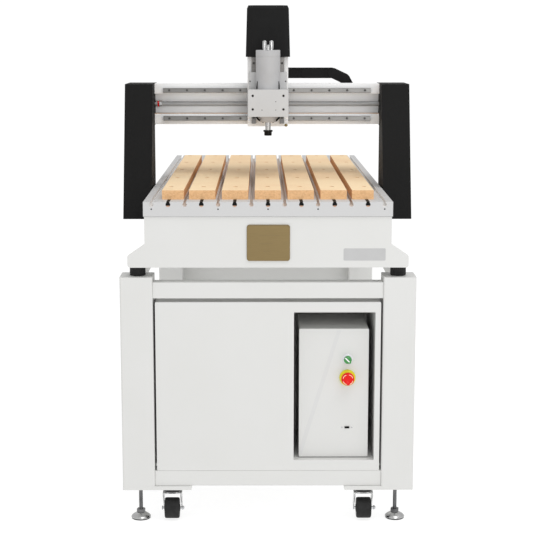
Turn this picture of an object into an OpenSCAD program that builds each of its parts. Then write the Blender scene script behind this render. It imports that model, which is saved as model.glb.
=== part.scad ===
// Gantry CNC router on a steel stand, as separate named sub-parts. Millimetres.
// Origin: floor level, centred under the machine. +Z up, the operator stands on the -Y side.

/* [Table] */
// width of the clamping table
table_w = 750; // [600:50:1000]
// length of the clamping table
table_l = 1700; // [1400:50:2400]
// thickness of the clamping table
table_t = 44; // [30:1:60]
// height of the table top above the floor
table_z = 1005; // [850:5:1100]
// distance between neighbouring T-slots
slot_pitch = 50; // [40:5:100]
// width of a T-slot's neck
slot_neck = 8; // [6:0.5:12]
// diameter of a T-slot's round channel
slot_d = 12.8; // [10:0.2:16]

/* [Spoilboard] */
// thickness of the wooden slats
slat_t = 28; // [12:1:40]
// width of an inner slat
slat_w = 80; // [60:1:90]
// distance from the table's front edge to the slats
slat_y0 = 66; // [20:1:200]
// length of the slats
slat_l = 1308; // [800:1:1600]

/* [Stand] */
// overall width of the stand
stand_w = 900; // [800:10:1100]
// side of a leg's square tube
leg = 100; // [60:5:120]
// height of the top of the legs
leg_top = 775; // [600:5:850]
// underside of the foot mounting plates
plate_z = 106; // [80:1:140]
// thickness of the foot mounting plates
plate_t = 12; // [8:1:20]

/* [Casters and feet] */
// diameter of a caster wheel
wheel_d = 65; // [50:1:75]
// width of a caster wheel's tread
wheel_w = 46; // [20:1:50]
// distance of the casters' king pins from the middle
caster_x = 300; // [280:1:320]
// distance of the levelling feet from the middle
foot_x = 399; // [390:1:410]

/* [Gantry] */
// inner face of the side cheeks, from the middle
cheek_in = 380; // [376:1:400]
// outer face of the side cheeks, from the middle
cheek_out = 472; // [440:1:500]
// diameter of the cross ball screw
x_screw_d = 16; // [12:1:20]
// distance between the fixing holes of the cross rails
rail_pitch = 60; // [40:5:80]

/* [Head] */
// how far the head stands off the middle
head_x = 2.5; // [-200:0.5:200]
// diameter of the spindle motor
spindle_d = 80; // [65:5:100]
// diameter of the tool shank bore
tool_d = 6; // [3:1:10]

/* [Hidden] */
c_white = [0.89, 0.89, 0.88]; c_black = [0.14, 0.14, 0.14]; c_alu = [0.80, 0.81, 0.81];
c_steel = [0.62, 0.63, 0.64]; c_wood = [0.90, 0.76, 0.56]; c_brass = [0.60, 0.52, 0.36];
run = 0.05;                       // radial clearance of a running fit
leg_z = plate_z + plate_t;
sx = 268; sz = -110;              // lengthwise screws: distance from the middle, height
xs_y = 596; xs_z = 266;           // cross screw axis
sp_y = 452;                       // spindle axis
zs_y = 525;                       // head screw axis

// ---- helpers -------------------------------------------------------------------
module deck() translate([0, -table_l/2, table_z]) children();  // table top, front edge
module stand() translate([0, -table_l/2, 0]) children();       // floor, front edge
module head() translate([head_x, -table_l/2, table_z]) children();
module box(a, b) translate(a) cube(b - a);
module cx(p, d, l, n = 40) translate(p) rotate([0, 90, 0]) cylinder(d = d, h = l, $fn = n);
module cy(p, d, l, n = 40) translate(p) rotate([-90, 0, 0]) cylinder(d = d, h = l, $fn = n);
module cz(p, d, l, n = 40) translate(p) cylinder(d = d, h = l, $fn = n);
module both() { children(); mirror([1, 0, 0]) children(); }
module rsq(w, h, r) translate([r, r]) offset(r = r, $fn = 24) square([w - 2*r, h - 2*r]);
// box with rounded upright edges
module rbox(a, b, r) translate(a) linear_extrude(b.z - a.z) rsq(b.x - a.x, b.y - a.y, r);
// box with its edges rounded as seen from the front
module fbox(a, b, r) translate([a.x, b.y, a.z]) rotate([90, 0, 0])
  linear_extrude(b.y - a.y) rsq(b.x - a.x, b.z - a.z, r);
// outline in X-Z, extruded along Y
module xz(y0, y1) translate([0, y1, 0]) rotate([90, 0, 0]) linear_extrude(y1 - y0) children();
// outline in Y-Z, extruded along X
module yz(x0, x1) translate([x0, 0, 0]) rotate([90, 0, 90]) linear_extrude(x1 - x0) children();
module hexy(p, af, l) translate(p) rotate([-90, 0, 0]) cylinder(d = af/cos(30), h = l, $fn = 6);
module hexz(p, af, l) translate(p) cylinder(d = af/cos(30), h = l, $fn = 6);

// ---- stand ---------------------------------------------------------------------
module stand_legs() color(c_white) stand()
  for (x = [-stand_w/2, stand_w/2 - leg], y = [0, table_l - leg]) difference() {
    rbox([x, y, leg_z], [x + leg, y + leg, leg_top], 6);
    rbox([x + 4, y + 4, leg_z - 1], [x + leg - 4, y + leg - 4, leg_top - 5], 3);
  }
module tube_x(x0, x1, y, z) difference() {
  box([x0, y, z], [x1, y + 50, z + 49]);
  box([x0 - 1, y + 3, z + 3], [x1 + 1, y + 47, z + 46]);
}
module tube_y(x, y0, y1, z) difference() {
  box([x, y0, z], [x + 40, y1, z + 49]);
  box([x + 3, y0 - 1, z + 3], [x + 37, y1 + 1, z + 46]);
}
module stand_rails() color(c_white) stand() {
  xi = stand_w/2 - leg;
  for (z = [leg_z, leg_top - 65], y = [6, table_l - 56]) tube_x(-xi, xi, y, z);
  for (z = [leg_z, leg_top - 85]) {
    for (x = [-stand_w/2, stand_w/2 - 40]) tube_y(x, leg, table_l - leg, z);
    tube_x(-stand_w/2 + 40, stand_w/2 - 40, table_l/2 - 25, z);
  }
}
module foot_mount_plates() color(c_white) stand() both()
  for (y = [0, table_l - 120]) difference() {
    fy = y == 0 ? 50 : table_l - 50;
    ky = y == 0 ? 62 : table_l - 62;
    rbox([237, y, plate_z], [stand_w/2, y + 120, plate_z + plate_t], 4);
    cz([foot_x, fy, plate_z - 1], 12 + 2*run, plate_t + 2);
    cz([caster_x, ky, plate_z - 1], 12 + 2*run, plate_t + 2);
  }
module caster_heads() color(c_black) stand() both() for (ky = [62, table_l - 62])
  difference() {
    union() {
      cz([caster_x, ky, plate_z - 3], 60, 3);
      cz([caster_x, ky, plate_z - 20], 53, 17);
    }
    cz([caster_x, ky, plate_z - 21], 12 + 2*run, 22);
  }
// a pan with 2 mm walls, open towards +Y or -Y
panel_z0 = leg_z + 49.4; panel_z1 = leg_top - 77;
module panel(x0, x1, y0, y1, open_back) difference() {
  fbox([x0, y0, panel_z0], [x1, y1, panel_z1], 3);
  fbox([x0 + 2, open_back ? y0 + 2 : y0 - 1, panel_z0 + 2],
    [x1 - 2, open_back ? y1 + 1 : y1 - 2, panel_z1 - 2], 2);
}
// the opening in the front panel and the sleeve behind it
bay_x0 = 79; bay_x1 = 327.5; bay_z0 = 200.5; bay_z1 = 666.5;
module front_panel() color(c_white) stand() difference() {
  union() {
    panel(-343.5, 344, 6, 80, true);
    // flanges that fix the panel between the legs
    both() box([341, 78, panel_z0 + 1], [stand_w/2 - leg, 80, panel_z1 - 1]);
  }
  fbox([bay_x0, 0, bay_z0], [bay_x1, 12, bay_z1], 2);
}
module rear_panel() color(c_white) stand() union() {
  panel(-349.8, 349.8, table_l - 26, table_l - 6, false);
  // tabs that hang it on the upper and lower tubes
  for (x = [-270, -30, 230]) {
    box([x, table_l - 30, panel_z1 - 6], [x + 40, table_l - 8, panel_z1 - 2]);
    box([x, table_l - 30, 660], [x + 40, table_l - 26, leg_top - 65]);
    box([x, table_l - 30, leg_z + 49], [x + 40, table_l - 26, 200]);
  }
}
// sleeve round the control box; its floor carries the box, its back lets the cables through
module control_bay() color(c_white) stand() difference() {
  fbox([bay_x0 - 2, 8, bay_z0 - 2], [bay_x1 + 2, 345, bay_z1 + 2], 3);
  fbox([bay_x0, 7, bay_z0], [bay_x1, 343, bay_z1], 2);
  box([143, 342, 240], [263, 346, 340]);
}
bx = 245;                          // buttons' upright line
module control_box() color(c_white) stand() difference() {
  union() {
    fbox([96, 32, bay_z0 + 3], [310, 332, 610], 4);
    for (x = [112, 294], y = [50, 314]) cz([x, y, bay_z0], 14, 5);
  }
  fbox([98, 34, bay_z0 + 5], [308, 330, 608], 3);
  cy([bx, 30, 515], 18, 6);
  cy([bx, 30, 457], 26, 6);
  cy([203, 329, 300], 40, 6);
}
module switch_bezel() color(c_alu) stand() difference() {
  union() {
    translate([bx, 32, 515]) rotate([90, 0, 0]) cylinder(d1 = 33, d2 = 29, h = 5, $fn = 48);
    cy([bx, 31.9, 515], 17, 12);
  }
  cy([bx, 20, 515], 12 + 2*run, 30);
}
module estop_collar() color([0.85, 0.72, 0.10]) stand() difference() {
  union() {
    translate([bx, 32, 457]) rotate([90, 0, 0]) cylinder(d1 = 50, d2 = 48, h = 10, $fn = 56);
    cy([bx, 31.9, 457], 25, 14);
  }
  cy([bx, 20, 457], 20 + 2*run, 40);
}
module data_port() color(c_black) stand() {
  fbox([bx - 7.5, 29.5, 295], [bx + 7.5, 32, 301], 1);
  for (s = [-1, 1]) cy([bx + 15.4*s, 30.8, 298], 4.2, 1.2, 24);
}
module rubber_feet() color(c_black) stand()
  for (x = [-398, 398], y = [50, table_l - 50]) translate([x, y, leg_top])
    rotate_extrude($fn = 56) polygon([[0, 0], [22, 0], [24, 2], [24, 28], [22, 30], [0, 30]]);

// ---- machine base --------------------------------------------------------------
// end plate with wings that cover the rubber feet
module base_end_outline() offset(r = 8, $fn = 24) offset(delta = -8)
  polygon([[-425, -200], [425, -200], [425, -164], [372.5, -128], [372.5, -table_t],
           [-372.5, -table_t], [-372.5, -128], [-425, -164]]);
module base_shell() color(c_white) deck() difference() {
  union() {
    for (y = [4, table_l - 12]) xz(y, y + 8) base_end_outline();
    box([-372.5, 4, -200], [372.5, table_l - 4, -table_t]);
    // shelves that stand on the rubber feet
    for (y = [8, table_l - 88]) box([-420, y, -200], [420, y + 80, -195]);
  }
  box([-367.5, 12, -195], [367.5, table_l - 12, -49]);
  box([-340, 12, -70], [340, table_l - 12, -40]);
  both() box([360, 25, -88], [390, 1540, -58]);
}
module base_beams() color(c_white) deck() {
  both() box([296, 12, -195], [344, 1540, -113]);
  for (x = [-150, 0, 150]) box([x - 5, 12, -195], [x + 5, table_l - 12, -table_t]);
  for (y = [300, 850, 1400]) box([-145, y - 4, -195], [145, y + 4, -90]);
}
module table_plate() color(c_alu) deck() difference() {
  box([-table_w/2, 0, -table_t], [table_w/2, table_l, 0]);
  for (x = [-table_w/2 + 25 : slot_pitch : table_w/2 - 20]) {
    cy([x, -1, -8], slot_d, table_l + 2, 32);
    box([x - slot_neck/2, -1, -8], [x + slot_neck/2, table_l + 1, 1]);
  }
  for (x = [-table_w/2 + 50 : slot_pitch : table_w/2 - 45])
    box([x - 17, 14, -table_t - 1], [x + 17, table_l - 14, -26]);
  for (x = [-350, -150, 0, 150, 350]) cy([x, -1, -21.6], 5, 21, 20);
}
slats = [for (i = [-2:2]) [i*100 - slat_w/2, i*100 + slat_w/2]];
bolt_x = [-300, -200, -100, 0, 100, 200, 300];
bolt_y = [for (k = [0:4]) if (173 + 290*k < slat_y0 + slat_l) 173 + 290*k];
module spoilboard_slats() color(c_wood) deck() difference() {
  union() {
    for (s = slats) box([s[0], slat_y0, 0], [s[1], slat_y0 + slat_l, slat_t]);
    both() box([256, slat_y0, 0], [322, slat_y0 + slat_l, slat_t]);
  }
  for (x = bolt_x, y = bolt_y) {
    cz([x, y, -1], 7, slat_t + 2, 20);
    cz([x, y, slat_t - 9], 15, 10, 24);
  }
}
module table_fasteners() color(c_steel) deck() {
  for (x = bolt_x, y = bolt_y) difference() {
    union() {
      cz([x, y, slat_t - 9], 12, 7, 24);
      cz([x, y, -12], 6, slat_t + 5, 20);
    }
    hexz([x, y, slat_t - 5], 5, 5);
  }
  for (x = [-350, -150, 0, 150, 350]) difference() {
    cy([x, 0.4, -21.6], 5, 18, 20);
    hexy([x, 0, -21.6], 2.5, 3);
  }
}
module nameplate() color(c_brass) deck() fbox([-64, 0.5, -179], [66, 4, -69], 8);
module y_rails() color(c_steel) deck() both() difference() {
  box([310, 25, -113], [330, 1535, -95.5]);
  for (z = [-104]) for (x = [310, 330])
    translate([x, 24, z]) rotate([-90, 0, 0]) cylinder(r = 2.4, h = 1512, $fn = 16);
}
module y_motors() color(c_black) deck() both() {
  difference() {
    union() {
      fbox([sx - 43, 1600, sz - 43], [sx + 43, 1686, sz + 43], 6);
      box([sx - 43, 1588, -195], [sx + 43, 1600, -66]);
      box([sx - 23, 1556, -195], [sx + 23, 1578, -87]);
      box([sx - 23, 12, -195], [sx + 23, 24, -87]);
    }
    cy([sx, 5, sz], 14 + 2*run, 1600);
  }
}
module y_screw() {
  cy([sx, 24.2, sz], 20, 1531.6, 40);
  cy([sx, 12.5, sz], 14, 1590, 40);
}
module y_screw_left() color(c_steel) deck() mirror([1, 0, 0]) y_screw();
module y_screw_right() color(c_steel) deck() y_screw();

// ---- controls ------------------------------------------------------------------
module selector_knob() color([0.10, 0.50, 0.30]) stand() {
  cy([bx, 14, 515], 24, 12.5, 48);
  cy([bx, 25, 515], 12, 26, 40);
  translate([bx, 14, 515]) rotate([0, 45, 0]) translate([-3.5, -5, -11.8])
    cube([7, 5.5, 23.6]);
}
module estop_button() color([0.72, 0.10, 0.10]) stand() {
  translate([bx, 0, 457]) rotate([-90, 0, 0]) rotate_extrude($fn = 56)
    polygon([[0, 0], [12, 0.5], [16.5, 2], [19, 4.5], [20, 8], [20, 12.5], [18.5, 14.5],
             [10, 16], [10, 56], [0, 56]]);
}

// ---- feet and casters ----------------------------------------------------------
module levelling_foot(x, y) color(c_steel) stand() translate([x, y, 0]) {
  rotate_extrude($fn = 60) polygon([[0, 0], [30, 0], [31, 1], [31, 5], [29.5, 9], [25, 13.5],
    [18, 17.5], [14, 19.5], [0, 19.5]]);
  hexz([0, 0, 19.4], 24, 11.6);
  cz([0, 0, 30], 12, 170, 40);
}
module foot_fl() levelling_foot(-foot_x, 50);
module foot_fr() levelling_foot(foot_x, 50);
module foot_rl() levelling_foot(-foot_x, table_l - 50);
module foot_rr() levelling_foot(foot_x, table_l - 50);
// s is the way the wheel trails, along Y
wz = wheel_d/2 + 3;
trail = 22;
module caster_fork(x, s) color(c_steel) stand()
  translate([x, s < 0 ? 62 : table_l - 62, 0]) scale([1, s < 0 ? 1 : -1, 1]) {
    cz([0, 0, plate_z - 26], 52, 5.6, 48);
    cz([0, 0, plate_z - 26], 12, 37, 40);
    for (k = [-30, 25.5]) yz(k, k + 4.5)
      polygon([[-22, plate_z - 22], [20, plate_z - 22], [20, plate_z - 32],
               [-trail + 12, wz - 3], [-trail + 8, wz - 9], [-trail - 8, wz - 9],
               [-trail - 13, wz], [-26, plate_z - 34]]);
    box([-30, -22, plate_z - 26], [30, 20, plate_z - 22]);
    cx([-32, -trail, wz], 8, 70, 40);
    cx([-33, -trail, wz], 14, 3.5, 32);
    translate([30, -trail, wz]) rotate([0, 90, 0]) cylinder(d = 15, h = 6, $fn = 6);
  }
module caster_fork_fl() caster_fork(-caster_x, -1);
module caster_fork_fr() caster_fork(caster_x, -1);
module caster_fork_rl() caster_fork(-caster_x, 1);
module caster_fork_rr() caster_fork(caster_x, 1);
module caster_wheel(x, s) color(c_black) stand()
  translate([x, s < 0 ? 62 - trail : table_l - 62 + trail, wz]) rotate([0, 90, 0])
    rotate_extrude($fn = 64) polygon([[4 + run, -25], [11, -25], [11, -wheel_w/2 + 2],
      [wheel_d/2 - 4, -wheel_w/2], [wheel_d/2 - 1.2, -wheel_w/2 + 1.5],
      [wheel_d/2, -wheel_w/2 + 6], [wheel_d/2, wheel_w/2 - 6],
      [wheel_d/2 - 1.2, wheel_w/2 - 1.5], [wheel_d/2 - 4, wheel_w/2], [11, wheel_w/2 - 2],
      [11, 25], [4 + run, 25]]);
module caster_wheel_fl() caster_wheel(-caster_x, -1);
module caster_wheel_fr() caster_wheel(caster_x, -1);
module caster_wheel_rl() caster_wheel(-caster_x, 1);
module caster_wheel_rr() caster_wheel(caster_x, 1);

// ---- gantry --------------------------------------------------------------------
module cheek_outline() polygon([[370, -100], [500, 335], [685, 335], [685, 195], [582, 195],
                                [582, -100]]);
module cheek() difference() {
  yz(cheek_in, cheek_out) offset(r = 3, $fn = 16) offset(delta = -3) cheek_outline();
  yz(cheek_in + 20, cheek_out - 5) offset(delta = -7) cheek_outline();
  cx([cheek_in - 1, xs_y, xs_z], 30, 30);
}
module cheek_left() color(c_black) deck() mirror([1, 0, 0]) cheek();
module cheek_right() color(c_black) deck() union() {
  cheek();
  difference() {
    cx([cheek_in, xs_y, xs_z], 40, 26);
    cx([cheek_in - 1, xs_y, xs_z], 10 + 2*run, 40);
  }
}
module gantry_beam() color(c_alu) deck() yz(-cheek_in, cheek_in) difference() {
  polygon([[580, 198], [665, 198], [665, 334], [580, 334], [580, 300], [616, 300], [616, 233],
           [580, 233]]);
  translate([624, 205]) square([34, 122]);
  translate([588, 307]) square([30, 20]);
  translate([588, 205]) square([30, 21]);
}
module x_rails() color(c_steel) deck() for (z = [218, 312]) difference() {
  yz(-350, 350) polygon([[580, z - 7.5], [573.5, z - 7.5], [571.5, z - 6], [568.5, z - 6],
    [566.5, z - 7.5], [565, z - 6.8], [565, z + 6.8], [566.5, z + 7.5], [568.5, z + 6],
    [571.5, z + 6], [573.5, z + 7.5], [580, z + 7.5]]);
  for (x = [-350 + 20 : rail_pitch : 335]) cy([x, 564, z], 7.5, 6.3, 24);
}
module x_motor() color(c_black) deck()
  translate([-cheek_in - 20 - 56, xs_y, xs_z]) {
    difference() {
      yz(0, 56) translate([-28.5, -28.5]) rsq(57, 57, 4);
      cx([40, 0, 0], 10, 17, 32);
    }
  }
module y_trucks() color(c_alu) deck() both() {
  difference() {
    union() {
      box([245, 380, -83], [cheek_in, 575, -63]);
      for (y = [384, 501]) box([298, y, -108], [342, y + 70, -83]);
      box([sx - 22, 450, sz - 22], [sx + 22, 505, -83]);
    }
    box([309.7, 370, -114], [330.3, 585, -95.2]);
    cy([sx, 440, sz], 20 + 2*run, 80, 40);
  }
}
module chain_tray() color(c_black) deck() {
  box([-378, 665, 197], [378, 690, 200]);
  box([-378, 690, 197], [440, 750, 200]);
  box([-378, 748, 200], [440, 750, 242]);
  box([-378, 690, 240], [60, 748, 242]);
  box([-378, 688, 197], [-80, 690, 242]);
  // stays between the tray's cover and the beam
  for (x = [-300, -120]) box([x, 665, 236], [x + 30, 688, 242]);
}
module x_screw() color(c_steel) deck() {
  cx([-355, xs_y, xs_z], x_screw_d, 734.5, 48);
  cx([379, xs_y, xs_z], 10, 26, 40);
  cx([-366, xs_y, xs_z], 21, 11, 40);
  cx([-380, xs_y, xs_z], 21, 9, 40);
  cx([-399.5, xs_y, xs_z], 8, 20, 32);
}
module coupling_spider() color([0.75, 0.12, 0.12]) deck() cx([-371, xs_y, xs_z], 20, 5, 40);

// ---- head ----------------------------------------------------------------------
module z_base_plate() color(c_alu) head() {
  box([-68, 537, 193], [68, 552, 485]);
  difference() {
    box([-39, 500, 473], [39, 537, 485]);
    cz([0, zs_y, 470], 10 + 2*run, 20);
  }
  // arm that carries the end of the energy chain
  box([-60, 552, 385], [-4, 745, 391]);
  box([-60, 552, 355], [-54, 600, 385]);
}
module x_blocks() color(c_steel) head() {
  for (x = [-65.5, 4.5], z = [218, 312]) difference() {
    box([x, 552, z - 17], [x + 61, 576, z + 17]);
    box([x - 1, 564.7, z - 7.8], [x + 62, 577, z + 7.8]);
  }
  difference() {
    box([-24, 552, xs_z - 19], [24, 614, xs_z + 19]);
    cx([-30, xs_y, xs_z], x_screw_d + 2*run, 60, 48);
  }
}
module z_rails() color(c_steel) head() for (x = [-47, 47]) difference() {
  translate([0, 0, 203]) linear_extrude(280) polygon([[x - 7.5, 537], [x - 7.5, 530.5],
    [x - 6, 528.5], [x - 6, 525.5], [x - 7.5, 523.5], [x - 6.8, 522], [x + 6.8, 522],
    [x + 7.5, 523.5], [x + 6, 525.5], [x + 6, 528.5], [x + 7.5, 530.5], [x + 7.5, 537]]);
  for (z = [223 : 60 : 470]) cy([x, 521, z], 7.5, 6.3, 24);
}
module z_motor() color(c_black) head() rbox([-27, 498, 485], [27, 552, 541], 4);
// tapered cover, d inside its outer faces, through the stations [height, half width, front]
module hood_form(d, stations) {
  ring = function (s) [[d - s[1], -d, s[0]], [d - s[1], s[2] + 17, s[0]],
    [d/2 - s[1] + 17, s[2], s[0]], [s[1] - d/2 - 17, s[2], s[0]],
    [s[1] - d, s[2] + 17, s[0]], [s[1] - d, -d, s[0]]];
  n = len(stations);
  polyhedron(points = [for (s = stations) each ring([s[0], s[1], s[2] + d])],
    faces = concat([[0, 1, 2, 3, 4, 5], [for (i = [5:-1:0]) 6*(n - 1) + i]],
      [for (k = [0:n - 2], i = [0:5])
        [6*k + i, 6*k + i + 6, 6*k + (i + 1)%6 + 6, 6*k + (i + 1)%6]]));
}
module z_hood() color(c_black) head() {
  translate([0, 600, 424]) difference() {
    hood_form(0, [[0, 73.5, -106], [158, 69, -106], [168, 64.5, -101]]);
    hood_form(3, [[-1, 73.5, -106], [157, 69, -106], [165, 65.4, -102]]);
  }
  both() box([57, 552.2, 440], [70, 562, 460]);
}
module grease_fitting() color([0.72, 0.58, 0.28]) head() {
  cy([61, 531, 197], 11, 6, 32);
  cy([61, 528, 197], 7, 4, 24);
}
module z_screw() color(c_steel) head() cz([0, zs_y, 215], 10, 269, 40);
module z_carriage_plate() color(c_alu) head() {
  box([-62, 498, 232], [62, 513, 374]);
  for (x = [-47, 47], z = [288, 334]) difference() {
    box([x - 16, 513, z], [x + 16, 533, z + 40]);
    box([x - 7.8, 521.7, z - 1], [x + 7.8, 534, z + 41]);
  }
  difference() {
    box([-11, 513, 292], [11, 535, 328]);
    cz([0, zs_y, 290], 10 + 2*run, 50);
  }
}
module spindle_clamp() color(c_alu) head() difference() {
  rbox([-67, 402, 232], [67, 498, 320], 3);
  cz([0, sp_y, 230], spindle_d + 2*run, 100, 96);
  box([-70, 451, 230], [70, 453, 330]);
  for (x = [-50, 50], z = [256, 300]) cy([x, 401, z], 8, 8, 32);
}
module spindle_body() color([0.66, 0.67, 0.68]) head() difference() {
  translate([0, sp_y, 0]) rotate_extrude($fn = 96) polygon([[0, 212], [26, 212], [33, 232],
    [spindle_d/2, 232], [spindle_d/2, 445], [spindle_d/2 - 2, 447], [0, 447]]);
  cz([0, sp_y, 210], 18 + 2*run, 60, 48);
}
module spindle_fittings() color(c_steel) head() {
  for (x = [-11, 11]) translate([x, 432, 447]) rotate_extrude($fn = 36)
    polygon([[0, 0], [7, 0], [7, 26], [5.6, 29.4], [3, 31], [0, 31]]);
  cz([0, 417, 447], 11.6, 17, 36);
}
module spindle_shaft() color(c_steel) head() difference() {
  cz([0, sp_y, 172], 18, 96, 48);
  cz([0, sp_y, 171], tool_d, 31, 32);
}
module collet_nut() color(c_black) head() difference() {
  translate([0, sp_y, 0]) rotate_extrude($fn = 56) polygon([[0, 168], [11.5, 168], [12.5, 169],
    [12.5, 180], [15.5, 181], [15.5, 185], [14.5, 186], [0, 186]]);
  cz([0, sp_y, 172], 18 + 2*run, 20, 48);
  cz([0, sp_y, 167], 12, 10, 36);
}

// ---- energy chain --------------------------------------------------------------
bend_x = 228; up_z = 367; low_z = 219;
module chain_run() color(c_black) deck() box([-60 + head_x, 695, up_z - 18],
  [bend_x, 745, up_z + 18]);
module chain_bend() color(c_black) deck() {
  translate([bend_x, 745, (up_z + low_z)/2]) rotate([90, 0, 0])
    rotate([0, 0, -90]) rotate_extrude(angle = 180, $fn = 64)
      translate([(up_z - low_z)/2 - 18, 0]) square([36, 50]);
  box([-230, 695, low_z - 18], [bend_x, 745, low_z + 18]);
}

// ---- drawing -------------------------------------------------------------------
stand_legs();
stand_rails();
foot_mount_plates();
caster_heads();
front_panel();
rear_panel();
control_bay();
control_box();
switch_bezel();
estop_collar();
data_port();
rubber_feet();
base_shell();
base_beams();
table_plate();
spoilboard_slats();
table_fasteners();
nameplate();
y_rails();
y_motors();
foot_fl();
foot_fr();
foot_rl();
foot_rr();
y_screw_left();
y_screw_right();
selector_knob();
estop_button();
caster_fork_fl();
caster_fork_fr();
caster_fork_rl();
caster_fork_rr();
caster_wheel_fl();
caster_wheel_fr();
caster_wheel_rl();
caster_wheel_rr();
cheek_left();
cheek_right();
gantry_beam();
x_rails();
x_motor();
y_trucks();
chain_tray();
x_screw();
coupling_spider();
z_base_plate();
x_blocks();
z_rails();
z_motor();
z_hood();
grease_fitting();
chain_run();
chain_bend();
z_screw();
z_carriage_plate();
spindle_clamp();
spindle_body();
spindle_fittings();
spindle_shaft();
collet_nut();
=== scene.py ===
"""Looks of a gantry CNC router on its stand. Metres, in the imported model's frame."""
import math

import bmesh
import bpy
from mathutils import Matrix, Vector


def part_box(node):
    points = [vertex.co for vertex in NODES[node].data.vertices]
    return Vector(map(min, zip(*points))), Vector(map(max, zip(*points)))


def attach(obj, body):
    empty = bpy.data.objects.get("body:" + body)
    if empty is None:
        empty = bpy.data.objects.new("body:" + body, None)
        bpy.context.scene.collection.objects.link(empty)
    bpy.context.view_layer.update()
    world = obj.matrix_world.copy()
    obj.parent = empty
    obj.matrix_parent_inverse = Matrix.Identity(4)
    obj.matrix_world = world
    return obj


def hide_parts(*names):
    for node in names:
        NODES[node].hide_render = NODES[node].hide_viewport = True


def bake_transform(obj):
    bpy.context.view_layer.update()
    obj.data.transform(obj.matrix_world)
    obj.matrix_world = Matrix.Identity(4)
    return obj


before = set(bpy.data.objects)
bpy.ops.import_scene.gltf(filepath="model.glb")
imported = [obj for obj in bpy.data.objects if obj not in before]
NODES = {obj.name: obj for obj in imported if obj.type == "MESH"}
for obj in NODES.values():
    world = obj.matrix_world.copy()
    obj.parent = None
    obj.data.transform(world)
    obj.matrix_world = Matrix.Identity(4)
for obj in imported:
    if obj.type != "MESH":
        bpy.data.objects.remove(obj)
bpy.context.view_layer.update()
MM = 0.001
CORNERS = ("fl", "fr", "rl", "rr")

# places that the pieces share, taken from the frame
TABLE_LO, TABLE_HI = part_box("table_plate")
TOP = TABLE_HI.z                                   # table top
FRONT = TABLE_LO.y                                 # table's front face
TABLE_LONG = (TABLE_HI.y - TABLE_LO.y) / MM        # millimetres
HEAD_X = sum(v.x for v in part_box("z_base_plate")) / 2


def at(x, y, z):
    """A point given in millimetres from the table top's front edge."""
    return Vector((x * MM, FRONT + y * MM, TOP + z * MM))


# ---- camera ------------------------------------------------------------------

def add_camera():
    """The camera that stands before the machine, a little above the table."""
    data = bpy.data.cameras.new("camera")
    data.lens = 91.66
    data.sensor_width = 36
    data.clip_end = 100
    cam = bpy.data.objects.new("camera", data)
    cam.location = (-0.0244, -4.8915, 1.4782)
    cam.rotation_euler = (math.radians(80.60), 0, math.radians(-0.28))
    bpy.context.scene.collection.objects.link(cam)
    bpy.context.scene.camera = cam


add_camera()


# ---- materials ---------------------------------------------------------------

def srgb(r, g, b):
    """A colour given as 0-255 display values, as a linear RGBA."""
    def lin(v):
        v /= 255
        return v / 12.92 if v <= 0.04045 else ((v + 0.055) / 1.055) ** 2.4
    return (lin(r), lin(g), lin(b), 1.0)


def grey(v):
    """A neutral grey of that display value."""
    return srgb(v, v, v)


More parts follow.
